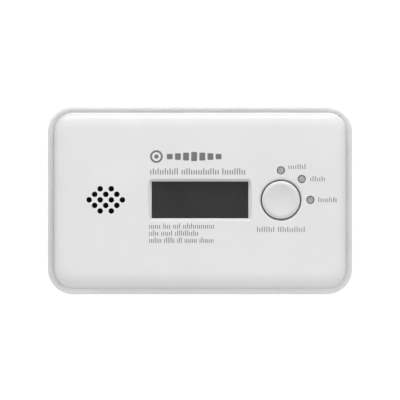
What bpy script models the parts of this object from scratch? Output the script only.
"""Carbon monoxide alarm, modelled as the separate pieces that it is assembled from.

Frame: +X is to the right of someone who faces the front, +Y runs from the front towards the wall, +Z is up.
The origin is the middle of the bounding box's bottom face. Shapes are drawn in millimetres, and finish()
turns each of them into metres.
"""

import math

import bmesh
import bpy
from mathutils import Matrix, Vector

MM = 0.001
GAP = 0.3  # clearance left between neighbouring pieces
OVERLAP = 0.5  # how far a boss or rib reaches into the wall that it grows from

# Case, seen from the front
WIDTH, HEIGHT, DEPTH = 120.0, 74.0, 36.0
CORNER_RADIUS = 10.0
MID_Z = HEIGHT / 2
PANEL_Z = MID_Z + 0.25  # level of the display, the button and the sounder
CORNER_STEPS = 5

# Depths, from the front (negative Y) to the wall
BUTTON_FRONT_Y = -DEPTH / 2
WALL_Y = DEPTH / 2
BUTTON_PROUD = 0.4
FACE_Y = BUTTON_FRONT_Y + BUTTON_PROUD
SHELL_WALL = 2.0
COVER_INSIDE_Y = FACE_Y + SHELL_WALL
BEHIND_FACE_Y = COVER_INSIDE_Y + GAP
COVER_RIM_Y = 2.0
BRACKET_THICKNESS = 1.7
BRACKET_FRONT_Y = WALL_Y - BRACKET_THICKNESS
HOUSING_REAR_Y = BRACKET_FRONT_Y - GAP
HOUSING_FLOOR_Y = HOUSING_REAR_Y - SHELL_WALL
BOARD_THICKNESS = 1.6
BOARD_FRONT_Y = -4.9
BOARD_REAR_Y = BOARD_FRONT_Y + BOARD_THICKNESS
ON_BOARD_FRONT_Y = BOARD_FRONT_Y - GAP
ON_BOARD_REAR_Y = BOARD_REAR_Y + GAP

# Front cover: raised face inside a narrow flange
FLANGE = 2.4
EDGE_ROUND = 3.8  # where the raised face turns into its side wall
FACE_EASE = 10.2  # gentler curve that leads from the flat face into that edge
EASE_ANGLE = 20.0
RIM_ROUND = 0.8
FLANGE_DIP = 0.3
FLANGE_CREST_Y = -2.6
FLANGE_UNDERSIDE_Y = -0.4
CASE_BOSS_RADIUS, CASE_PILOT_RADIUS, CASE_PILOT_END_Y = 3.5, 1.8, -9.0
BOARD_BOSS_RADIUS, BOARD_PILOT_RADIUS, BOARD_PILOT_END_Y = 2.8, 1.3, -12.0
LENS_RIB = 1.2
CHAMBER_RIB_HALF, CHAMBER_RIB_END_Y = 2.0, -11.0

# Rear housing
HOUSING_RIM_Y = COVER_RIM_Y + GAP
REAR_ROUND = 1.5
TONGUE_THICKNESS = 1.2
TONGUE_FOOT_Y, TONGUE_BLEND = 4.0, 1.5  # where the tongue thins down to the wall
VENT_FRONT_Y = 6.5
VENT_WIDTH, VENT_LENGTH, VENT_PITCH, VENT_COUNT = 1.6, 6.0, 3.4, 7
VENT_GROUP_X = 34.0

# Controls
BUTTON_X = 31.85
BUTTON_RADIUS = 7.55
BUTTON_HOLE_RADIUS = 7.95
BUTTON_EDGE_ROUND = 1.1
DISH_RADIUS, DISH_DEPTH = 6.0, 0.55
CAP_THICKNESS, SKIRT_THICKNESS = 1.8, 1.25
BUTTON_FLANGE_RADIUS, BUTTON_FLANGE_THICKNESS = 8.7, 1.0
STEM_RADIUS, STEM_END_Y = 2.4, -9.2
COLLAR_RADIUS, COLLAR_END_Y = 8.9, -11.5
PIPE_CIRCLE = 11.6
PIPE_RADIUS, PIPE_HOLE_RADIUS, PIPE_FLANGE_RADIUS = 1.3, 1.6, 2.2
PIPE_END_Y = -7.3
PIPE_CHAMFER = 0.3
LED_HALF = (1.6, 1.4)
INDICATORS = {"alarm": 90.0, "fault": 45.0, "power": 0.0}  # angle round the button
SWITCH_SIDE, SWITCH_HEIGHT = 6.0, 3.0
SWITCH_WELL_RADIUS, SWITCH_WELL_FLOOR_Y = 2.0, -5.9
PLUNGER_RADIUS, PLUNGER_FRONT_Y, PLUNGER_LENGTH = 1.7, -8.9, 2.0

# Sounder
SOUNDER_X = -37.1
SOUND_HOLE_RADIUS, SOUND_HOLE_PITCH = 1.03, 4.37
SOUND_HOLE_ROWS = (2, 3, 4, 3, 2)
CHAMBER_RADIUS, CHAMBER_BORE, CHAMBER_REAR_BORE = 14.2, 12.8, 11.0
CHAMBER_REAR_Y = -6.3
CHAMBER_FLOOR, CHAMBER_OUTLET_RADIUS = 1.5, 4.0
DISC_RADIUS, DISC_REAR_Y, DISC_THICKNESS = 12.5, -10.7, 0.3
CERAMIC_RADIUS, CERAMIC_THICKNESS = 8.5, 0.25
CLAMP_BORE, CLAMP_THICKNESS = 11.3, 1.4
SCREEN_RADIUS, SCREEN_THICKNESS = 12.0, 0.4
LEAD_RADIUS, LEAD_BEND, LEAD_OFFSET, LEAD_TOP_Z = 0.4, 1.6, 1.4, 54.5

# Display
WINDOW_HALF = (19.1, 7.25)
BEZEL_HALF = (20.0, 8.3)
BEZEL_BOW = 0.55
BEZEL_DEPTH = 1.7
LENS_HALF = (22.0, 10.0)
LENS_THICKNESS = 1.2
PANE = 1.1
GLASS_HALF, GLASS_LEDGE = (20.8, 9.0), 2.0  # the rear pane is longer by the ledge that carries its contacts
DISPLAY_FRAME_HALF, DISPLAY_DROP = (22.6, 11.8), 1.0
DISPLAY_WELL_HALF, DISPLAY_SHAFT_HALF = (21.2, 10.4), (20.0, 10.4)
DIFFUSER_HALF_WIDTH, DIFFUSER_THICKNESS = 19.6, 3.0
STRIP_HALF_WIDTH, STRIP_HEIGHT, STRIP_GAP = 19.5, 2.0, 0.4

# Batteries: two AA cells side by side
CELL_RADIUS, CELL_BODY, CELL_NUB = 7.1, 49.2, 1.3
CELL_PITCH = 15.0
TRAY_Z = 21.4
TRAY_HALF = (29.2, 15.3)
TRAY_WALL, TRAY_FLOOR = 1.2, 1.4
CELL_DIVIDER_HALF, CELL_DIVIDER_TOP_Y = (24.0, 1.2), 2.5
DOOR_THICKNESS = 1.6
DOOR_INSIDE_Y = HOUSING_REAR_Y - DOOR_THICKNESS
CELL_Y = DOOR_INSIDE_Y - GAP - CELL_RADIUS
TRAY_FLOOR_Y = CELL_Y - CELL_RADIUS - GAP
LEDGE_Y = DOOR_INSIDE_Y - GAP
DOOR_HALF = (30.5, 16.6)
DOOR_FRAME, DOOR_FRAME_DEPTH = 3.0, 1.6
SCOOP_HALF, SCOOP_REACH, SCOOP_DEPTH = 6.0, 4.0, 1.0
CELL_END_X = TRAY_HALF[0] - 2 * GAP - 0.4  # tip of each nub: wall, gap, contact plate, gap
CONTACT_THICKNESS = 0.4
SPRING_WIRE = 0.35
HINGE_X = -DOOR_HALF[0]
LUG_OFFSETS = (-9.0, 9.0)
LUG_HALF, LUG_REACH, LUG_FOOT_Y = 2.5, 1.4, 12.6
LATCH_X, LATCH_HALF = (27.4, 28.8), 3.5
LATCH_ARM_LENGTH, LATCH_SLIT = 7.0, (4.5, 5.3)
GRIP_COUNT, GRIP_START_X, GRIP_PITCH, GRIP_WIDTH, GRIP_DEPTH = 4, 25.2, 1.3, 0.6, 0.4
CONTACT_HALF, CONTACT_Y, TAB_HALF = 5.5, (-5.5, 4.8), 1.5  # depths from the cell's axis
SPRING_TURNS, SPRING_STEPS, SPRING_RADII = 4, 11, (4.3, 2.8)

# Fasteners
CASE_SCREWS = [(x, z) for x in (-50.5, 50.5) for z in (9.5, HEIGHT - 9.5)]
BOARD_SCREWS = [(-36.0, 11.0), (36.0, 11.0), (-20.0, 63.0), (20.0, 63.0)]
CASE_SCREW = {"tip_y": -4.0, "shank": 1.5, "head": 2.8, "dome": 2.1}
BOARD_SCREW = {"tip_y": -10.5, "shank": 1.0, "head": 2.1, "dome": 1.4}
CROSS_HALF = (1.4, 0.35)
SCREW_SEAT_Y, SEAT_RADIUS = 8.0, 3.2
COLUMN_FRONT_Y, COLUMN_RADIUS = 5.7, 4.4

# Circuit board
BOARD_HALF_WIDTH, BOARD_MARGIN = 53.0, 6.5
BOARD_NOTCH = (4.5, 5.0)  # past each case screw, inwards and outwards
PIN_HOLE_RADIUS = 0.9
BOARD_BLOCKS = {  # (x range, z range), height and slot of each plain component on the rear side
    "microcontroller": ((2.0, 12.0), (47.0, 57.0), 1.3, "black_plastic"),
    "voltage_regulator": ((-24.0, -17.5), (45.0, 51.0), 1.8, "black_plastic"),
}
CRYSTAL_AT, CRYSTAL_HALF, CRYSTAL_HEIGHT = (17.0, 52.0), (2.3, 5.6), 3.4
HEADER_AT, HEADER_PITCH, HEADER_PINS = (-3.0, 42.5), 2.54, 5
HEADER_HALF_WIDTH, HEADER_HEIGHT = 1.25, 2.5
PIN_HALF, PIN_ROOT, PIN_TIP = 0.32, 2.0, 8.0  # heights of a pin's ends above the board
CHIPS = {  # places, half size and height
    "chip_resistor": (((-23.0, 54.5), (-19.5, 54.5)), (1.55, 0.8), 0.6),
    "chip_capacitor": (((22.5, 45.0), (22.5, 48.5)), (1.6, 1.2), 1.2),
}
CAPACITOR_AT, CAPACITOR_RADIUS, CAPACITOR_HEIGHT = (-8.0, 56.0), 4.0, 10.6
CRIMP = ((0.2, 0.0), (0.0, 0.4), (0.0, 1.4), (0.3, 1.8), (0.0, 2.2))  # (inset, height) up the can's foot
CAN_CHAMFER = 0.4
COIL_AT, COIL_FLANGE, COIL_WAIST, COIL_HEIGHT, COIL_FLANGE_THICKNESS = (-38.0, 60.0), 4.6, 3.6, 8.2, 1.2

# Gas sensor
SENSOR_X, SENSOR_Z = 36.0, 54.0
SENSOR_RADIUS = 8.6
SENSOR_PIN_CIRCLE, SENSOR_PIN_RADIUS = 5.0, 0.5
SENSOR_BASE_RADIUS, SENSOR_BASE_THICKNESS = 9.0, 1.6
SENSOR_CAN_HEIGHT, SENSOR_CAN_WALL, SENSOR_CAN_MOUTH = 8.6, 0.6, 2.0
RESERVOIR_RADIUS, RESERVOIR_HEIGHT = 7.5, 3.8
SENSOR_CAP_HEIGHT, SENSOR_CAP_WALL = 2.6, 0.9
INLET_COUNT, INLET_CIRCLE, INLET_RADIUS = 6, 4.0, 0.9

# Rating label
LABEL_AT, LABEL_HALF, LABEL_THICKNESS = (-45.3, 26.5), (10.0, 9.5), 0.2

# Wall bracket
BRACKET_HALF = (42.0, 12.5)
BRACKET_Z = 57.0
BRACKET_TRAVEL = 5.5
HOOKS = [(x, z) for x in (-32.0, 32.0) for z in (50.5, 63.5)]
HOOK_WIDTH, HOOK_NECK, HOOK_REACH = 4.0, 2.0, 3.0
BRACKET_HOLE_X = 22.0
BRACKET_HOLE_RADIUS, BRACKET_SINK_RADIUS, BRACKET_SINK_DEPTH = 2.0, 4.1, 1.4
BRACKET_SLOT_HALF_LENGTH = 4.6
TONGUE_HALF, TONGUE_SLIT, TONGUE_MARGIN = 5.0, 1.0, 2.5

COLOURS = {  # base colour, roughness, metallic
    "white_shell": ((0.80, 0.80, 0.80), 0.42, 0.0),
    "button_white": ((0.80, 0.80, 0.80), 0.38, 0.0),
    "smoked_lens": ((0.035, 0.035, 0.036), 0.12, 0.0),
    "clear_pipe": ((0.46, 0.46, 0.46), 0.25, 0.0),
    "display_glass": ((0.25, 0.28, 0.26), 0.10, 0.0),
    "diffuser": ((0.85, 0.86, 0.82), 0.50, 0.0),
    "black_plastic": ((0.02, 0.02, 0.02), 0.50, 0.0),
    "board_green": ((0.02, 0.16, 0.07), 0.45, 0.0),
    "rubber_black": ((0.03, 0.03, 0.03), 0.80, 0.0),
    "led_white": ((0.85, 0.84, 0.70), 0.35, 0.0),
    "brass": ((0.80, 0.60, 0.28), 0.30, 1.0),
    "ceramic": ((0.78, 0.77, 0.74), 0.40, 0.0),
    "steel": ((0.62, 0.62, 0.62), 0.28, 1.0),
    "aluminium": ((0.75, 0.75, 0.76), 0.35, 1.0),
    "cell_sleeve": ((0.10, 0.22, 0.42), 0.35, 0.0),
    "felt": ((0.015, 0.015, 0.015), 0.95, 0.0),
    "lead_red": ((0.55, 0.03, 0.03), 0.50, 0.0),
    "label": ((0.86, 0.86, 0.86), 0.55, 0.0),
}


# ---------------------------------------------------------------- modelling helpers


def clear_scene():
    for obj in list(bpy.data.objects):
        bpy.data.objects.remove(obj)


def material(slot):
    if slot in bpy.data.materials:
        return bpy.data.materials[slot]
    made = bpy.data.materials.new(slot)
    made.use_nodes = True
    colour, roughness, metallic = COLOURS[slot]
    shader = made.node_tree.nodes["Principled BSDF"]
    shader.inputs["Base Color"].default_value = (*colour, 1.0)
    shader.inputs["Roughness"].default_value = roughness
    shader.inputs["Metallic"].default_value = metallic
    return made


def solid(bm):
    """A scene object, in millimetres, from a closed bmesh."""
    bmesh.ops.remove_doubles(bm, verts=bm.verts, dist=1e-5)
    bmesh.ops.recalc_face_normals(bm, faces=bm.faces)
    mesh = bpy.data.meshes.new("shape")
    bm.to_mesh(mesh)
    bm.free()
    obj = bpy.data.objects.new("shape", mesh)
    bpy.context.scene.collection.objects.link(obj)
    return obj


def box(x, y, z):
    """A block between the given (low, high) pairs."""
    bm = bmesh.new()
    size = Vector((x[1] - x[0], y[1] - y[0], z[1] - z[0]))
    middle = Vector((sum(x), sum(y), sum(z))) / 2
    bmesh.ops.create_cube(bm, size=1.0, matrix=Matrix.Translation(middle) @ Matrix.Diagonal((*size, 1.0)))
    return solid(bm)


def rounded_outline(half_width, half_height, radius, steps=CORNER_STEPS):
    """A rectangle with round corners, as (x, z) points about its centre, anticlockwise."""
    points = []
    for quarter, (sx, sz) in enumerate([(1, 1), (-1, 1), (-1, -1), (1, -1)]):
        centre = Vector((sx * (half_width - radius), sz * (half_height - radius)))
        for step in range(steps + 1):
            angle = math.pi / 2 * (quarter + step / steps)
            points.append(centre + radius * Vector((math.cos(angle), math.sin(angle))))
    return points


def lofted(rings):
    """A closed solid through rings of equally many points, with the first and last ring capped."""
    bm = bmesh.new()
    loops = [[bm.verts.new(point) for point in ring] for ring in rings]
    for near, far in zip(loops, loops[1:]):
        for i in range(len(near)):
            j = (i + 1) % len(near)
            bm.faces.new((near[i], near[j], far[j], far[i]))
    bm.faces.new(loops[0])
    bm.faces.new(loops[-1])
    return solid(bm)


def prism(outline, y, centre=(0.0, 0.0)):
    """An (x, z) outline extruded along Y between the two depths of y."""
    return lofted([[(centre[0] + p[0], depth, centre[1] + p[1]) for p in outline] for depth in y])


def case_shell(profile):
    """A shell on the case's outline. The profile is a list of (inset from the outline, depth)."""
    rings = []
    for inset, depth in profile:
        outline = rounded_outline(WIDTH / 2 - inset, HEIGHT / 2 - inset, CORNER_RADIUS - inset)
        rings.append([(p[0], depth, MID_Z + p[1]) for p in outline])
    return lofted(rings)


def turned(profile, centre, axis="Y", steps=32):
    """A solid of revolution. The closed profile holds (radius, distance along the axis from the centre)."""
    bm = bmesh.new()
    verts = [bm.verts.new((radius, 0.0, along)) for radius, along in profile]
    edges = [bm.edges.new((verts[i - 1], verts[i])) for i in range(len(verts))]
    on_axis = [edge for edge in edges if all(abs(vert.co.x) < 1e-6 for vert in edge.verts)]
    for edge in on_axis:
        edges.remove(edge)
        bm.edges.remove(edge)
    bmesh.ops.spin(
        bm,
        geom=verts + edges,
        cent=(0, 0, 0),
        axis=(0, 0, 1),
        angle=2 * math.pi,
        steps=steps,
        use_merge=True,
    )
    turn = {
        "X": Matrix.Rotation(math.pi / 2, 4, "Y"),
        "Y": Matrix.Rotation(-math.pi / 2, 4, "X"),
    }[axis]
    bmesh.ops.transform(bm, matrix=Matrix.Translation(centre) @ turn, verts=bm.verts)
    return solid(bm)


def cylinder(centre, radius, y, steps=32):
    """A round bar along Y through the (x, z) centre."""
    profile = [(0, y[0]), (radius, y[0]), (radius, y[1]), (0, y[1])]
    return turned(profile, (centre[0], 0, centre[1]), steps=steps)


def ring(centre, inner, outer, y, steps=32):
    """A tube along Y round the (x, z) centre."""
    profile = [(inner, y[0]), (outer, y[0]), (outer, y[1]), (inner, y[1])]
    return turned(profile, (centre[0], 0, centre[1]), steps=steps)


def wire(points, radius, sides=2):
    """A round wire through the given points, with closed ends."""
    curve = bpy.data.curves.new("wire", "CURVE")
    curve.dimensions = "3D"
    curve.bevel_depth = radius
    curve.bevel_resolution = sides
    curve.use_fill_caps = True
    spline = curve.splines.new("POLY")
    spline.points.add(len(points) - 1)
    for slot, point in zip(spline.points, points):
        slot.co = (*point, 1.0)
    drawn = bpy.data.objects.new("wire", curve)
    bpy.context.scene.collection.objects.link(drawn)
    bm = bmesh.new()
    bm.from_mesh(evaluated_mesh(drawn))
    bpy.data.objects.remove(drawn)
    return solid(bm)


def evaluated_mesh(obj):
    graph = bpy.context.evaluated_depsgraph_get()
    return bpy.data.meshes.new_from_object(obj.evaluated_get(graph))


def combine(body, others, operation):
    """Applies one Boolean for each of the others, which are used up."""
    for other in others:
        modifier = body.modifiers.new(operation, "BOOLEAN")
        modifier.operation = operation
        modifier.object = other
        modifier.solver = "EXACT"
        mesh = evaluated_mesh(body)
        body.modifiers.clear()
        body.data = welded(mesh)
        bpy.data.objects.remove(other)
    return body


def welded(mesh):
    """The mesh without the doubled points and the empty edges that a Boolean leaves."""
    bm = bmesh.new()
    bm.from_mesh(mesh)
    bmesh.ops.remove_doubles(bm, verts=bm.verts, dist=1e-3)
    bmesh.ops.dissolve_degenerate(bm, edges=bm.edges, dist=1e-4)
    bm.to_mesh(mesh)
    bm.free()
    return mesh


def join(body, *others):
    return combine(body, others, "UNION")


def cut(body, *others):
    return combine(body, others, "DIFFERENCE")


def finish(name, obj, slot, origin=(0, 0, 0)):
    """Names the piece, gives it its material and its origin (in millimetres), and scales it to metres."""
    obj.data.transform(Matrix.Scale(MM, 4) @ Matrix.Translation(-Vector(origin)))
    obj.data.materials.clear()
    obj.data.materials.append(material(slot))
    obj.data.shade_smooth()
    obj.data.set_sharp_from_angle(angle=math.radians(35))
    obj.data.name = name
    obj.name = name
    obj.location = Vector(origin) * MM
    return obj


def arc(centre, radius, start, end, steps):
    """Points on an arc, in degrees, as pairs in the profile's own two directions."""
    points = []
    for step in range(steps + 1):
        angle = math.radians(start + (end - start) * step / steps)
        points.append((centre[0] + radius * math.cos(angle), centre[1] + radius * math.sin(angle)))
    return points


def indicator_centre(name):
    angle = math.radians(INDICATORS[name])
    return BUTTON_X + PIPE_CIRCLE * math.cos(angle), PANEL_Z + PIPE_CIRCLE * math.sin(angle)


# ---------------------------------------------------------------- case


def cover_profile():
    """The front cover's section: down the outside from the face to the rim, and back up the inside."""
    crest_y = FLANGE_CREST_Y
    outside = face_curve(0.0, (2, 5))
    flange = [(FLANGE, crest_y + FLANGE_DIP)]
    rim = arc((RIM_ROUND, crest_y + RIM_ROUND), RIM_ROUND, 270, 180, 3)
    skirt = [
        (0, COVER_RIM_Y),
        (SHELL_WALL, COVER_RIM_Y),
        (SHELL_WALL, FLANGE_UNDERSIDE_Y),
        (FLANGE + SHELL_WALL, FLANGE_UNDERSIDE_Y),
    ]
    inside = face_curve(SHELL_WALL, (2, 4))[::-1]
    return outside + flange + rim + skirt + inside


def face_curve(depth, steps):
    """From the flat face to the side wall, as (inset, y), on a surface that lies depth inside the cover."""
    turn = 270 - EASE_ANGLE
    step_in = FACE_EASE - EDGE_ROUND
    edge_centre = (
        FLANGE + EDGE_ROUND,
        FACE_Y + FACE_EASE + step_in * math.sin(math.radians(turn)),
    )
    ease_centre = (edge_centre[0] - step_in * math.cos(math.radians(turn)), FACE_Y + FACE_EASE)
    ease = arc(ease_centre, FACE_EASE - depth, 270, turn, steps[0])
    edge = arc(edge_centre, EDGE_ROUND - depth, turn, 180, steps[1])
    return ease + edge[1:]


def bezel_outline(half, bow, steps=8):
    """The display window's outline: straight top and bottom, sides that bow outwards by bow."""
    points = []
    for side in (1, -1):
        for step in range(steps + 1):
            height = side * half[1] * (2 * step / steps - 1)
            out = half[0] + bow * math.cos(math.pi / 2 * (2 * step / steps - 1))
            points.append((side * out, height))
    return points


def window_cutter():
    """The display opening: sloping sides from the face down to the lens, then straight through."""
    slope_end_y = FACE_Y + BEZEL_DEPTH
    outer = bezel_outline(BEZEL_HALF, BEZEL_BOW)
    inner = bezel_outline(WINDOW_HALF, 0.0)
    stations = [
        (outer, FACE_Y - 1.0),
        (outer, FACE_Y),
        (inner, slope_end_y),
        (inner, COVER_INSIDE_Y + 1.0),
    ]
    return lofted([[(x, y, PANEL_Z + z) for x, z in outline] for outline, y in stations])


def sound_holes(steps=12):
    """One cutter with a pin for every hole of the sounder grille."""
    bm = bmesh.new()
    row_pitch = SOUND_HOLE_PITCH / 2
    middle_row = (len(SOUND_HOLE_ROWS) - 1) / 2
    turn = Matrix.Rotation(math.pi / 2, 4, "X")
    for row, count in enumerate(SOUND_HOLE_ROWS):
        z = PANEL_Z + (middle_row - row) * row_pitch
        for column in range(count):
            x = SOUNDER_X + (column - (count - 1) / 2) * SOUND_HOLE_PITCH
            place = Matrix.Translation((x, FACE_Y + SHELL_WALL / 2, z)) @ turn
            bmesh.ops.create_cone(
                bm,
                cap_ends=True,
                segments=steps,
                radius1=SOUND_HOLE_RADIUS,
                radius2=SOUND_HOLE_RADIUS,
                depth=2 * SHELL_WALL,
                matrix=place,
            )
    return solid(bm)


def front_cover():
    root_y = COVER_INSIDE_Y - OVERLAP
    button = (BUTTON_X, PANEL_Z)
    case_bosses = [cylinder(at, CASE_BOSS_RADIUS, (root_y, COLUMN_FRONT_Y - GAP), 20) for at in CASE_SCREWS]
    board_bosses = [cylinder(at, BOARD_BOSS_RADIUS, (root_y, ON_BOARD_FRONT_Y), 16) for at in BOARD_SCREWS]
    collar = cylinder(button, COLLAR_RADIUS, (root_y, COLLAR_END_Y), 40)
    lens_ribs = []
    for side in (-1, 1):
        edges = sorted(PANEL_Z + side * (LENS_HALF[1] + offset) for offset in (GAP, GAP + LENS_RIB))
        rib_y = (root_y, BEHIND_FACE_Y + LENS_THICKNESS)
        lens_ribs.append(box((-LENS_HALF[0], LENS_HALF[0] - 2), rib_y, edges))
    near, far = CHAMBER_RADIUS + GAP, CHAMBER_RADIUS + 2.0
    rib_y = (root_y, CHAMBER_RIB_END_Y)
    rib_x = (SOUNDER_X - CHAMBER_RIB_HALF, SOUNDER_X + CHAMBER_RIB_HALF)
    rib_z = (PANEL_Z - CHAMBER_RIB_HALF, PANEL_Z + CHAMBER_RIB_HALF)
    chamber_ribs = [
        box((SOUNDER_X - far, SOUNDER_X - near), rib_y, rib_z),
        box(rib_x, rib_y, (PANEL_Z + near, PANEL_Z + far)),
        box(rib_x, rib_y, (PANEL_Z - far, PANEL_Z - near)),
    ]
    cover = join(case_shell(cover_profile()), *case_bosses, *board_bosses, collar, *lens_ribs, *chamber_ribs)
    case_pilot_y, board_pilot_y = (CASE_PILOT_END_Y, COLUMN_FRONT_Y), (BOARD_PILOT_END_Y, BOARD_FRONT_Y)
    case_pilots = [cylinder(at, CASE_PILOT_RADIUS, case_pilot_y, 12) for at in CASE_SCREWS]
    board_pilots = [cylinder(at, BOARD_PILOT_RADIUS, board_pilot_y, 12) for at in BOARD_SCREWS]
    through_y = (FACE_Y - 1.0, COLLAR_END_Y + 1.0)
    button_hole = cylinder(button, BUTTON_HOLE_RADIUS, through_y, 40)
    pipe_holes = [cylinder(indicator_centre(name), PIPE_HOLE_RADIUS, through_y, 16) for name in INDICATORS]
    cut(cover, *case_pilots, *board_pilots, button_hole, *pipe_holes, window_cutter(), sound_holes())
    return finish("front_cover", cover, "white_shell")


def housing_profile():
    """The rear housing's section: round the rear edge, over the rim's tongue, and down the inside."""
    tongue_inset = SHELL_WALL + GAP
    inner_inset = tongue_inset + TONGUE_THICKNESS
    tongue_y = FLANGE_UNDERSIDE_Y + GAP
    return [
        *arc((REAR_ROUND, HOUSING_REAR_Y - REAR_ROUND), REAR_ROUND, 90, 180, 4),
        (0, HOUSING_RIM_Y),
        (tongue_inset, HOUSING_RIM_Y),
        (tongue_inset, tongue_y),
        (inner_inset, tongue_y),
        (inner_inset, TONGUE_FOOT_Y),
        (SHELL_WALL, TONGUE_FOOT_Y + TONGUE_BLEND),
        (SHELL_WALL, HOUSING_FLOOR_Y),
    ]


def vent_cutters():
    """Slots through the top and bottom walls, beside the sensor and the same on the other side."""
    cutters = []
    for group_x in (-VENT_GROUP_X, VENT_GROUP_X):
        for index in range(VENT_COUNT):
            x = group_x + (index - (VENT_COUNT - 1) / 2) * VENT_PITCH
            across = (x - VENT_WIDTH / 2, x + VENT_WIDTH / 2)
            along = (VENT_FRONT_Y, VENT_FRONT_Y + VENT_LENGTH)
            cutters.append(box(across, along, (HEIGHT - SHELL_WALL - 1, HEIGHT + 1)))
            cutters.append(box(across, along, (-1, SHELL_WALL + 1)))
    return cutters


def hook_slot(x, z):
    """The slot that a bracket hook enters at its lower end, and hangs in at its upper end."""
    across = HOOK_WIDTH / 2 + GAP
    foot = HOOK_NECK + HOOK_REACH
    low = z - HOOK_NECK / 2 - BRACKET_TRAVEL - GAP
    high = max(z + HOOK_NECK / 2 + GAP, low + foot + 2 * GAP)
    return box((x - across, x + across), (HOUSING_FLOOR_Y - 1, HOUSING_REAR_Y + 1), (low, high))


def contact_slots():
    """Openings in the tray's floor for the solder tabs of the two terminal contacts."""
    x = (TRAY_HALF[0] - 2 * GAP - CONTACT_THICKNESS, TRAY_HALF[0])
    slots = []
    for z in cell_heights():
        slots.append(box(x, (TRAY_FLOOR_Y - 3, TRAY_FLOOR_Y + 1), (z - TAB_HALF - GAP, z + TAB_HALF + GAP)))
    return slots


def cell_heights():
    return TRAY_Z - CELL_PITCH / 2, TRAY_Z + CELL_PITCH / 2


def tray_block(half_x, half_z, y):
    return box((-half_x, half_x), y, (TRAY_Z - half_z, TRAY_Z + half_z))


def rear_housing():
    into_floor_y = HOUSING_FLOOR_Y + OVERLAP
    columns = [cylinder(at, COLUMN_RADIUS, (COLUMN_FRONT_Y, into_floor_y), 24) for at in CASE_SCREWS]
    tray_y = (TRAY_FLOOR_Y - TRAY_FLOOR, into_floor_y)
    tray = tray_block(TRAY_HALF[0] + TRAY_WALL, TRAY_HALF[1] + TRAY_WALL, tray_y)
    frame_y = (HOUSING_FLOOR_Y - DOOR_FRAME_DEPTH, into_floor_y + 0.1)
    door_frame = tray_block(TRAY_HALF[0] + DOOR_FRAME, TRAY_HALF[1] + DOOR_FRAME + 0.1, frame_y)
    housing = join(case_shell(housing_profile()), *columns, tray, door_frame)
    compartment = tray_block(*TRAY_HALF, (TRAY_FLOOR_Y, HOUSING_REAR_Y + 1))
    recess_outline = rounded_outline(DOOR_HALF[0] + GAP, DOOR_HALF[1] + GAP, 1.8, 3)
    recess = prism(recess_outline, (LEDGE_Y, HOUSING_REAR_Y + 1), (0, TRAY_Z))
    slot_x = (HINGE_X - LUG_REACH - 0.4, -TRAY_HALF[0] + 1)
    slot_half = LUG_HALF + 0.4
    lug_slots = []
    for offset in LUG_OFFSETS:
        z = TRAY_Z + offset
        lug_slots.append(box(slot_x, (LUG_FOOT_Y - 0.7, LEDGE_Y + 0.5), (z - slot_half, z + slot_half)))
    scoop_x = (DOOR_HALF[0], DOOR_HALF[0] + SCOOP_REACH)
    scoop_y = (HOUSING_REAR_Y - SCOOP_DEPTH, HOUSING_REAR_Y + 1)
    thumb_scoop = box(scoop_x, scoop_y, (TRAY_Z - SCOOP_HALF, TRAY_Z + SCOOP_HALF))
    seats = [cylinder(at, SEAT_RADIUS, (SCREW_SEAT_Y, HOUSING_REAR_Y + 1), 24) for at in CASE_SCREWS]
    shank_y = (COLUMN_FRONT_Y - 1, SCREW_SEAT_Y + 1)
    shank_holes = [cylinder(at, CASE_PILOT_RADIUS, shank_y, 16) for at in CASE_SCREWS]
    cut(housing, compartment, recess, *lug_slots, thumb_scoop, *seats, *shank_holes)
    cut(housing, *[hook_slot(x, z) for x, z in HOOKS], *contact_slots(), *vent_cutters())
    join(housing, tray_block(*CELL_DIVIDER_HALF, (TRAY_FLOOR_Y - OVERLAP, CELL_DIVIDER_TOP_Y)))
    return finish("rear_housing", housing, "white_shell")


def screw(at, seat_y, tip_y, shank, head, dome):
    """A blunt-pointed shank under a bevelled head, with the head's underside at seat_y."""
    profile = [(0, tip_y), (0.75 * shank, tip_y), (shank, tip_y + shank), (shank, seat_y), (head, seat_y)]
    profile += [(head, seat_y + 0.6 * dome), (0.7 * head, seat_y + dome), (0, seat_y + dome)]
    return turned(profile, (at[0], 0, at[1]), steps=16)


def case_screws():
    head_y = SCREW_SEAT_Y + GAP
    recess_y = (head_y + CASE_SCREW["dome"] / 2, head_y + CASE_SCREW["dome"] + 1)
    for number, (x, z) in enumerate(CASE_SCREWS, 1):
        cross = []
        for half_x, half_z in (CROSS_HALF, CROSS_HALF[::-1]):
            cross.append(box((x - half_x, x + half_x), recess_y, (z - half_z, z + half_z)))
        body = screw((x, z), head_y, **CASE_SCREW)
        finish(f"case_screw_{number}", cut(body, *cross), "steel")


def rating_label():
    y = (HOUSING_REAR_Y + GAP, HOUSING_REAR_Y + GAP + LABEL_THICKNESS)
    outline = rounded_outline(*LABEL_HALF, 1.0, 2)
    return finish("rating_label", prism(outline, y, LABEL_AT), "label")


# ---------------------------------------------------------------- display


def display_lens():
    y0 = BEHIND_FACE_Y
    flange = prism(rounded_outline(*LENS_HALF, 1.0, 2), (y0, y0 + LENS_THICKNESS), (0, PANEL_Z))
    front = FACE_Y + BEZEL_DEPTH
    raised = box(
        (-WINDOW_HALF[0] + 0.2, WINDOW_HALF[0] - 0.2),
        (front, y0 + 0.5),
        (PANEL_Z - WINDOW_HALF[1] + 0.2, PANEL_Z + WINDOW_HALF[1] - 0.2),
    )
    return finish("display_lens", join(flange, raised), "smoked_lens")


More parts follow.
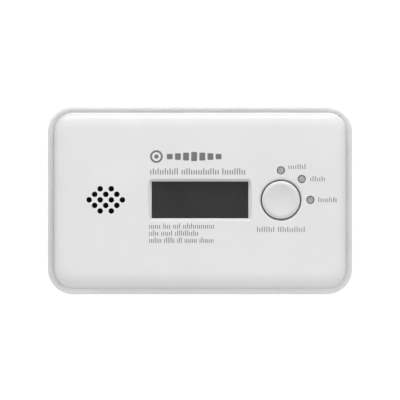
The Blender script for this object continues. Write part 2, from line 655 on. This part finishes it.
def display_module():
    """The liquid crystal cell on its frame, with the diffuser behind it and the contact strip below."""
    glass_y = BEHIND_FACE_Y + LENS_THICKNESS + GAP
    glass_x = (-GLASS_HALF[0], GLASS_HALF[0])
    glass_low, glass_top = PANEL_Z - GLASS_HALF[1], PANEL_Z + GLASS_HALF[1]
    front_pane = box(glass_x, (glass_y, glass_y + PANE + 0.1), (glass_low, glass_top))
    rear_pane = box(glass_x, (glass_y + PANE, glass_y + 2 * PANE), (glass_low - GLASS_LEDGE, glass_top))
    finish("lcd_glass", join(front_pane, rear_pane), "display_glass")

    frame_y = (glass_y + 0.2, ON_BOARD_FRONT_Y)
    ledge_y = glass_y + 2 * PANE + GAP
    frame = display_block(DISPLAY_FRAME_HALF, frame_y)
    well = display_block(DISPLAY_WELL_HALF, (frame_y[0] - 1, ledge_y))
    shaft = display_block(DISPLAY_SHAFT_HALF, (frame_y[0] - 1, frame_y[1] + 1))
    finish("lcd_frame", cut(frame, well, shaft), "black_plastic")

    strip_top = glass_low + 0.2
    strip_z = (strip_top - STRIP_HEIGHT, strip_top)
    strip = box((-STRIP_HALF_WIDTH, STRIP_HALF_WIDTH), (ledge_y, ON_BOARD_FRONT_Y), strip_z)
    finish("lcd_contact_strip", strip, "rubber_black")
    diffuser_y = (ledge_y + 0.1, ledge_y + 0.1 + DIFFUSER_THICKNESS)
    diffuser_x = (-DIFFUSER_HALF_WIDTH, DIFFUSER_HALF_WIDTH)
    diffuser = box(diffuser_x, diffuser_y, (strip_top + STRIP_GAP, glass_top))
    finish("lcd_diffuser", diffuser, "diffuser")


def display_block(half, y):
    """A block on the middle of the display's frame, which sits a little below the window's middle."""
    middle_z = PANEL_Z - DISPLAY_DROP
    return box((-half[0], half[0]), y, (middle_z - half[1], middle_z + half[1]))


# ---------------------------------------------------------------- controls


def test_button():
    """A dished cap on a skirt with a retaining flange, and a stem that reaches the switch."""
    skirt = BUTTON_RADIUS - SKIRT_THICKNESS
    flange_y = COLLAR_END_Y + GAP
    flange_rear_y = flange_y + BUTTON_FLANGE_THICKNESS
    steps = 4
    dish = []
    for step in range(steps):
        share = step / steps
        dish.append((DISH_RADIUS * share, BUTTON_FRONT_Y + DISH_DEPTH * (1 - share**2)))
    edge_round = BUTTON_EDGE_ROUND
    edge = arc((BUTTON_RADIUS - edge_round, BUTTON_FRONT_Y + edge_round), edge_round, 270, 360, steps)
    body = [
        (BUTTON_RADIUS, flange_y),
        (BUTTON_FLANGE_RADIUS, flange_y),
        (BUTTON_FLANGE_RADIUS, flange_rear_y),
        (skirt, flange_rear_y),
        (skirt, BUTTON_FRONT_Y + CAP_THICKNESS),
        (STEM_RADIUS, BUTTON_FRONT_Y + CAP_THICKNESS),
        (STEM_RADIUS, STEM_END_Y),
        (0, STEM_END_Y),
    ]
    button = turned(dish + edge + body, (BUTTON_X, 0, PANEL_Z), steps=32)
    return finish("test_button", button, "button_white", (BUTTON_X, BUTTON_FRONT_Y, PANEL_Z))


def test_switch():
    half = SWITCH_SIDE / 2
    rear_y, front_y = ON_BOARD_FRONT_Y, ON_BOARD_FRONT_Y - SWITCH_HEIGHT
    body = box((BUTTON_X - half, BUTTON_X + half), (front_y, rear_y), (PANEL_Z - half, PANEL_Z + half))
    centre = (BUTTON_X, PANEL_Z)
    well = cylinder(centre, SWITCH_WELL_RADIUS, (front_y - 1, SWITCH_WELL_FLOOR_Y), 20)
    finish("switch_body", cut(body, well), "black_plastic")
    plunger = cylinder(centre, PLUNGER_RADIUS, (PLUNGER_FRONT_Y, PLUNGER_FRONT_Y + PLUNGER_LENGTH), 20)
    finish("switch_plunger", plunger, "black_plastic", (BUTTON_X, PLUNGER_FRONT_Y, PANEL_Z))


def indicators():
    for name in INDICATORS:
        x, z = indicator_centre(name)
        r = PIPE_RADIUS
        front_y = FACE_Y + 0.05
        profile = [(0, front_y), (r - PIPE_CHAMFER, front_y), (r, front_y + PIPE_CHAMFER), (r, BEHIND_FACE_Y)]
        profile += [(PIPE_FLANGE_RADIUS, BEHIND_FACE_Y), (PIPE_FLANGE_RADIUS, BEHIND_FACE_Y + 1.0)]
        profile += [(r, BEHIND_FACE_Y + 1.0), (r, PIPE_END_Y), (0, PIPE_END_Y)]
        finish(f"light_pipe_{name}", turned(profile, (x, 0, z), steps=16), "clear_pipe")
        led_x, led_z = ((at - half, at + half) for at, half in zip((x, z), LED_HALF))
        led = box(led_x, (PIPE_END_Y + GAP, ON_BOARD_FRONT_Y), led_z)
        finish(f"led_{name}", led, "led_white")


# ---------------------------------------------------------------- sounder


def sounder():
    at = (SOUNDER_X, 0, PANEL_Z)
    ledge_y = DISC_REAR_Y + GAP
    profile = [
        (CHAMBER_BORE, BEHIND_FACE_Y),
        (CHAMBER_RADIUS, BEHIND_FACE_Y),
        (CHAMBER_RADIUS, CHAMBER_REAR_Y),
        (CHAMBER_OUTLET_RADIUS, CHAMBER_REAR_Y),
        (CHAMBER_OUTLET_RADIUS, CHAMBER_REAR_Y - CHAMBER_FLOOR),
        (CHAMBER_REAR_BORE, CHAMBER_REAR_Y - CHAMBER_FLOOR),
        (CHAMBER_REAR_BORE, ledge_y),
        (CHAMBER_BORE, ledge_y),
    ]
    finish("sounder_chamber", turned(profile, at, steps=36), "black_plastic")
    centre = (SOUNDER_X, PANEL_Z)
    disc_y = (DISC_REAR_Y - DISC_THICKNESS, DISC_REAR_Y)
    finish("sounder_disc", cylinder(centre, DISC_RADIUS, disc_y, 36), "brass")
    ceramic = cylinder(centre, CERAMIC_RADIUS, (DISC_REAR_Y + GAP, DISC_REAR_Y + GAP + CERAMIC_THICKNESS))
    finish("sounder_ceramic", ceramic, "ceramic")
    clamp_rear_y = disc_y[0] - GAP
    clamp = ring(centre, CLAMP_BORE, DISC_RADIUS, (clamp_rear_y - CLAMP_THICKNESS, clamp_rear_y), 36)
    finish("sounder_clamp_ring", clamp, "black_plastic")
    screen = cylinder(centre, SCREEN_RADIUS, (BEHIND_FACE_Y, BEHIND_FACE_Y + SCREEN_THICKNESS))
    finish("sounder_screen", screen, "felt")


def sounder_leads():
    """Two short leads from the disc, out of the chamber's rear hole and up to the board."""
    run_y = (CHAMBER_REAR_Y + BOARD_FRONT_Y) / 2
    start_y = DISC_REAR_Y + 2 * GAP + CERAMIC_THICKNESS + LEAD_RADIUS
    for name, side, slot in (("red", -1, "lead_red"), ("black", 1, "rubber_black")):
        x = SOUNDER_X + LEAD_OFFSET * side
        bend = arc((run_y - LEAD_BEND, PANEL_Z + LEAD_BEND), LEAD_BEND, 270, 360, 4)
        points = [(x, start_y, PANEL_Z)] + [(x, y, z) for y, z in bend] + [(x, run_y, LEAD_TOP_Z)]
        finish(f"sounder_lead_{name}", wire(points, LEAD_RADIUS), slot)


# ---------------------------------------------------------------- circuit board


def main_board():
    board_z = (BOARD_MARGIN, HEIGHT - BOARD_MARGIN)
    board = box((-BOARD_HALF_WIDTH, BOARD_HALF_WIDTH), (BOARD_FRONT_Y, BOARD_REAR_Y), board_z)
    through = (BOARD_FRONT_Y - 1, BOARD_REAR_Y + 1)
    notches = []
    for x, z in CASE_SCREWS:
        sides = []
        for at, centre in ((x, 0.0), (z, MID_Z)):
            outwards = math.copysign(1, at - centre)
            sides.append(sorted((at - outwards * BOARD_NOTCH[0], at + outwards * BOARD_NOTCH[1])))
        notches.append(box(sides[0], through, sides[1]))
    holes = [cylinder(at, BOARD_PILOT_RADIUS, through, 16) for at in BOARD_SCREWS]
    pin_holes = [cylinder(at, PIN_HOLE_RADIUS, through, 10) for at in sensor_pins()]
    return finish("main_board", cut(board, *notches, *holes, *pin_holes), "board_green")


def board_screws():
    for number, at in enumerate(BOARD_SCREWS, 1):
        finish(f"board_screw_{number}", screw(at, ON_BOARD_REAR_Y, **BOARD_SCREW), "steel")


def board_components():
    y0 = ON_BOARD_REAR_Y
    for name, (x, z, height, slot) in BOARD_BLOCKS.items():
        finish(name, box(x, (y0, y0 + height), z), slot)
    crystal_outline = rounded_outline(*CRYSTAL_HALF, CRYSTAL_HALF[0] - 0.1, 4)
    finish("quartz_crystal", prism(crystal_outline, (y0, y0 + CRYSTAL_HEIGHT), CRYSTAL_AT), "steel")
    for name, (places, half, height) in CHIPS.items():
        for number, (x, z) in enumerate(places, 1):
            chip = box((x - half[0], x + half[0]), (y0, y0 + height), (z - half[1], z + half[1]))
            finish(f"{name}_{number}", chip, "ceramic")
    programming_header()
    storage_capacitor()
    boost_coil()


def programming_header():
    """A row of pins in a plastic strip, used at the factory."""
    x, z = HEADER_AT
    half_length = HEADER_PINS * HEADER_PITCH / 2
    y0 = ON_BOARD_REAR_Y
    header_z = (z - HEADER_HALF_WIDTH, z + HEADER_HALF_WIDTH)
    header = box((x - half_length, x + half_length), (y0, y0 + HEADER_HEIGHT), header_z)
    pins = []
    for index in range(HEADER_PINS):
        at = x + (index - (HEADER_PINS - 1) / 2) * HEADER_PITCH
        pin_x, pin_z = (at - PIN_HALF, at + PIN_HALF), (z - PIN_HALF, z + PIN_HALF)
        pins.append(box(pin_x, (y0 + PIN_ROOT, y0 + PIN_TIP), pin_z))
    finish("programming_header", join(header, *pins), "black_plastic")


def storage_capacitor():
    """An electrolytic can with the crimp that holds its bung."""
    y0, r, top = ON_BOARD_REAR_Y, CAPACITOR_RADIUS, ON_BOARD_REAR_Y + CAPACITOR_HEIGHT
    can = [(0, y0)] + [(r - inset, y0 + height) for inset, height in CRIMP]
    can += [(r, top - CAN_CHAMFER), (r - CAN_CHAMFER, top), (0, top)]
    finish("storage_capacitor", turned(can, (CAPACITOR_AT[0], 0, CAPACITOR_AT[1]), steps=24), "aluminium")


def boost_coil():
    """A winding between the two flanges of its core."""
    y0, top, lip = ON_BOARD_REAR_Y, ON_BOARD_REAR_Y + COIL_HEIGHT, COIL_FLANGE_THICKNESS
    coil = [(0, y0), (COIL_FLANGE, y0), (COIL_FLANGE, y0 + lip), (COIL_WAIST, y0 + lip)]
    coil += [(COIL_WAIST, top - lip), (COIL_FLANGE, top - lip), (COIL_FLANGE, top), (0, top)]
    finish("boost_coil", turned(coil, (COIL_AT[0], 0, COIL_AT[1]), steps=24), "rubber_black")


# ---------------------------------------------------------------- gas sensor


def on_sensor_circle(radius, angles):
    points = []
    for angle in angles:
        turn = math.radians(angle)
        points.append((SENSOR_X + radius * math.cos(turn), SENSOR_Z + radius * math.sin(turn)))
    return points


def sensor_pins():
    return on_sensor_circle(SENSOR_PIN_CIRCLE, (90, 210, 330))


def gas_sensor():
    """Base with its pins, metal can, reservoir and cell inside, and a filter under a pierced cap."""
    at = (SENSOR_X, 0, SENSOR_Z)
    centre = (SENSOR_X, SENSOR_Z)
    y0 = ON_BOARD_REAR_Y
    can_y = y0 + SENSOR_BASE_THICKNESS + GAP
    base = cylinder(centre, SENSOR_BASE_RADIUS, (y0, y0 + SENSOR_BASE_THICKNESS))
    pin_y = (BOARD_FRONT_Y - 0.7, y0 + OVERLAP)
    pins = [cylinder(pin, SENSOR_PIN_RADIUS, pin_y, 8) for pin in sensor_pins()]
    finish("sensor_base", join(base, *pins), "black_plastic")

    wall, outer = SENSOR_CAN_WALL, SENSOR_RADIUS
    can_end = can_y + SENSOR_CAN_HEIGHT
    can = [(outer - wall, can_y), (outer, can_y), (outer, can_end - wall), (outer - wall, can_end)]
    can += [(SENSOR_CAN_MOUTH, can_end), (SENSOR_CAN_MOUTH, can_end - wall), (outer - wall, can_end - wall)]
    finish("sensor_can", turned(can, at, steps=28), "steel")
    reservoir_end = can_y + RESERVOIR_HEIGHT
    reservoir = cylinder(centre, RESERVOIR_RADIUS, (can_y, reservoir_end), 24)
    finish("sensor_reservoir", reservoir, "diffuser")
    cell_y = (reservoir_end + GAP, can_end - wall - GAP)
    finish("sensor_cell", cylinder(centre, RESERVOIR_RADIUS, cell_y, 24), "rubber_black")

    cap_y = can_end + GAP
    cap_end = cap_y + SENSOR_CAP_HEIGHT
    inner, top = outer - SENSOR_CAP_WALL, cap_end - SENSOR_CAP_WALL
    cap = [(inner, cap_y), (outer, cap_y), (outer, cap_end - 0.5), (outer - 0.5, cap_end)]
    cap += [(0, cap_end), (0, top), (inner, top)]
    inlets = []
    for inlet in on_sensor_circle(INLET_CIRCLE, range(0, 360, 360 // INLET_COUNT)):
        inlets.append(cylinder(inlet, INLET_RADIUS, (top - 1, cap_end + 1), 8))
    finish("sensor_cap", cut(turned(cap, at, steps=28), *inlets), "black_plastic")
    finish("sensor_filter", cylinder(centre, inner - GAP, (cap_y, top - GAP), 24), "felt")


# ---------------------------------------------------------------- batteries


def batteries():
    """The lower cell points right and the upper cell points left, so that they are in series."""
    low_z, high_z = cell_heights()
    for number, side, z in ((1, 1, low_z), (2, -1, high_z)):
        shoulder = CELL_END_X - CELL_NUB
        foot = shoulder - CELL_BODY
        profile = [(0, foot), (6.0, foot), (6.7, foot + 0.5), (CELL_RADIUS, foot + 0.9)]
        profile += [(CELL_RADIUS, shoulder - 0.9), (6.6, shoulder - 0.2), (5.6, shoulder), (2.75, shoulder)]
        profile += [(2.75, CELL_END_X - 0.3), (2.4, CELL_END_X), (0, CELL_END_X)]
        profile = [(radius, along * side) for radius, along in profile]
        cell = turned(profile, (0, CELL_Y, z), axis="X", steps=24)
        finish(f"battery_{number}", cell, "cell_sleeve")


def contact_spring(side, z):
    """A conical spring between the contact plate and the flat end of a cell."""
    plate_x = CELL_END_X + GAP
    cell_end = CELL_END_X - CELL_NUB - CELL_BODY
    spring_length = plate_x + cell_end - 2 * GAP - 2 * SPRING_WIRE
    start_x = plate_x - GAP - SPRING_WIRE
    points = []
    for index in range(SPRING_TURNS * SPRING_STEPS + 1):
        share = index / (SPRING_TURNS * SPRING_STEPS)
        angle = 2 * math.pi * SPRING_TURNS * share
        radius = SPRING_RADII[0] + (SPRING_RADII[1] - SPRING_RADII[0]) * share
        x = side * (start_x - spring_length * share)
        points.append((x, CELL_Y + radius * math.cos(angle), z + radius * math.sin(angle)))
    return wire(points, SPRING_WIRE, 1)


def contacts():
    """A bridge across the left ends, and one terminal for each cell on the right."""
    low_z, high_z = cell_heights()
    plate_x = (CELL_END_X + GAP, CELL_END_X + GAP + CONTACT_THICKNESS)
    bridge_x = (-plate_x[1], -plate_x[0])
    plate_y = (CELL_Y + CONTACT_Y[0], CELL_Y + CONTACT_Y[1])
    bridge = box(bridge_x, plate_y, (low_z - CONTACT_HALF, high_z + CONTACT_HALF))
    finish("bridge_contact", bridge, "steel")
    for name, z in (("positive_contact", low_z), ("negative_contact", high_z)):
        plate = box(plate_x, plate_y, (z - CONTACT_HALF, z + CONTACT_HALF))
        tab = box(plate_x, (ON_BOARD_REAR_Y, plate_y[0] + OVERLAP), (z - TAB_HALF, z + TAB_HALF))
        finish(name, join(plate, tab), "steel")
    finish("bridge_spring", contact_spring(-1, low_z), "steel")
    finish("negative_spring", contact_spring(1, high_z), "steel")


def battery_door():
    """A lid that tilts on two lugs at its left edge, with a latch tongue at its right edge."""
    door = prism(rounded_outline(*DOOR_HALF, 1.5, 3), (DOOR_INSIDE_Y, HOUSING_REAR_Y), (0, TRAY_Z))
    into_door_y = DOOR_INSIDE_Y + OVERLAP
    for offset in LUG_OFFSETS:
        z = (TRAY_Z + offset - LUG_HALF, TRAY_Z + offset + LUG_HALF)
        foot = box((HINGE_X - LUG_REACH, HINGE_X + LUG_REACH + 0.1), (LUG_FOOT_Y, LEDGE_Y - GAP), z)
        neck = box((HINGE_X + GAP, HINGE_X + LUG_REACH + 0.1), (LUG_FOOT_Y + 0.1, into_door_y), z)
        join(door, join(foot, neck))
    nose = box(LATCH_X, (LUG_FOOT_Y - 0.1, into_door_y), (TRAY_Z - LATCH_HALF, TRAY_Z + LATCH_HALF))
    join(door, nose)
    through = (DOOR_INSIDE_Y - 1, HOUSING_REAR_Y + 1)
    slits = []
    for side in (-1, 1):
        z = sorted(TRAY_Z + side * edge for edge in LATCH_SLIT)
        slits.append(box((DOOR_HALF[0] - LATCH_ARM_LENGTH, DOOR_HALF[0] + 1), through, z))
    grips = []
    for index in range(GRIP_COUNT):
        x = GRIP_START_X + GRIP_PITCH * index
        grip_y = (HOUSING_REAR_Y - GRIP_DEPTH, HOUSING_REAR_Y + 1)
        grips.append(box((x, x + GRIP_WIDTH), grip_y, (TRAY_Z - LATCH_HALF, TRAY_Z + LATCH_HALF)))
    cut(door, *slits, *grips)
    return finish("battery_door", door, "white_shell", (HINGE_X, HOUSING_REAR_Y, TRAY_Z))


# ---------------------------------------------------------------- wall bracket


def bracket_hook(x, z):
    """An L-shaped hook whose foot points up behind the housing's rear wall."""
    foot_y = (HOUSING_FLOOR_Y - GAP - 1.4, HOUSING_FLOOR_Y - GAP)
    across = (x - HOOK_WIDTH / 2, x + HOOK_WIDTH / 2)
    low = z - HOOK_NECK / 2
    neck = box(across, (foot_y[0], BRACKET_FRONT_Y + OVERLAP), (low, low + HOOK_NECK))
    foot = box(across, foot_y, (low, low + HOOK_NECK + HOOK_REACH))
    return join(neck, foot)


def wall_bracket():
    y = (BRACKET_FRONT_Y, WALL_Y)
    plate = prism(rounded_outline(*BRACKET_HALF, 4.0, 4), y, (0, BRACKET_Z))
    join(plate, *[bracket_hook(x, z) for x, z in HOOKS])
    through = (y[0] - 1, y[1] + 1)
    hole_radius, sink_y = BRACKET_HOLE_RADIUS, (y[0] - 0.5, y[0] + BRACKET_SINK_DEPTH)
    sink = [(0, sink_y[0]), (BRACKET_SINK_RADIUS, sink_y[0]), (hole_radius, sink_y[1]), (0, sink_y[1])]
    round_hole = [cylinder((-BRACKET_HOLE_X, BRACKET_Z), hole_radius, through, 20)]
    round_hole.append(turned(sink, (-BRACKET_HOLE_X, 0, BRACKET_Z), steps=20))
    slot_outline = rounded_outline(BRACKET_SLOT_HALF_LENGTH, hole_radius, hole_radius - 0.01, 5)
    slot = prism(slot_outline, through, (BRACKET_HOLE_X, BRACKET_Z))
    tongue_low, tongue_high = BRACKET_Z - BRACKET_HALF[1] + TONGUE_MARGIN, BRACKET_Z
    near, far = TONGUE_HALF, TONGUE_HALF + TONGUE_SLIT
    slits = [
        box((-far, -near), through, (tongue_low, tongue_high)),
        box((near, far), through, (tongue_low, tongue_high)),
        box((-far, far), through, (tongue_low - TONGUE_SLIT, tongue_low + 0.1)),
    ]
    cut(plate, *round_hole, slot, *slits)
    return finish("wall_bracket", plate, "white_shell", (0, WALL_Y, BRACKET_Z))


def main():
    clear_scene()
    front_cover()
    rear_housing()
    case_screws()
    rating_label()
    display_lens()
    display_module()
    test_button()
    test_switch()
    indicators()
    sounder()
    sounder_leads()
    main_board()
    board_screws()
    board_components()
    gas_sensor()
    batteries()
    contacts()
    battery_door()
    wall_bracket()


main()
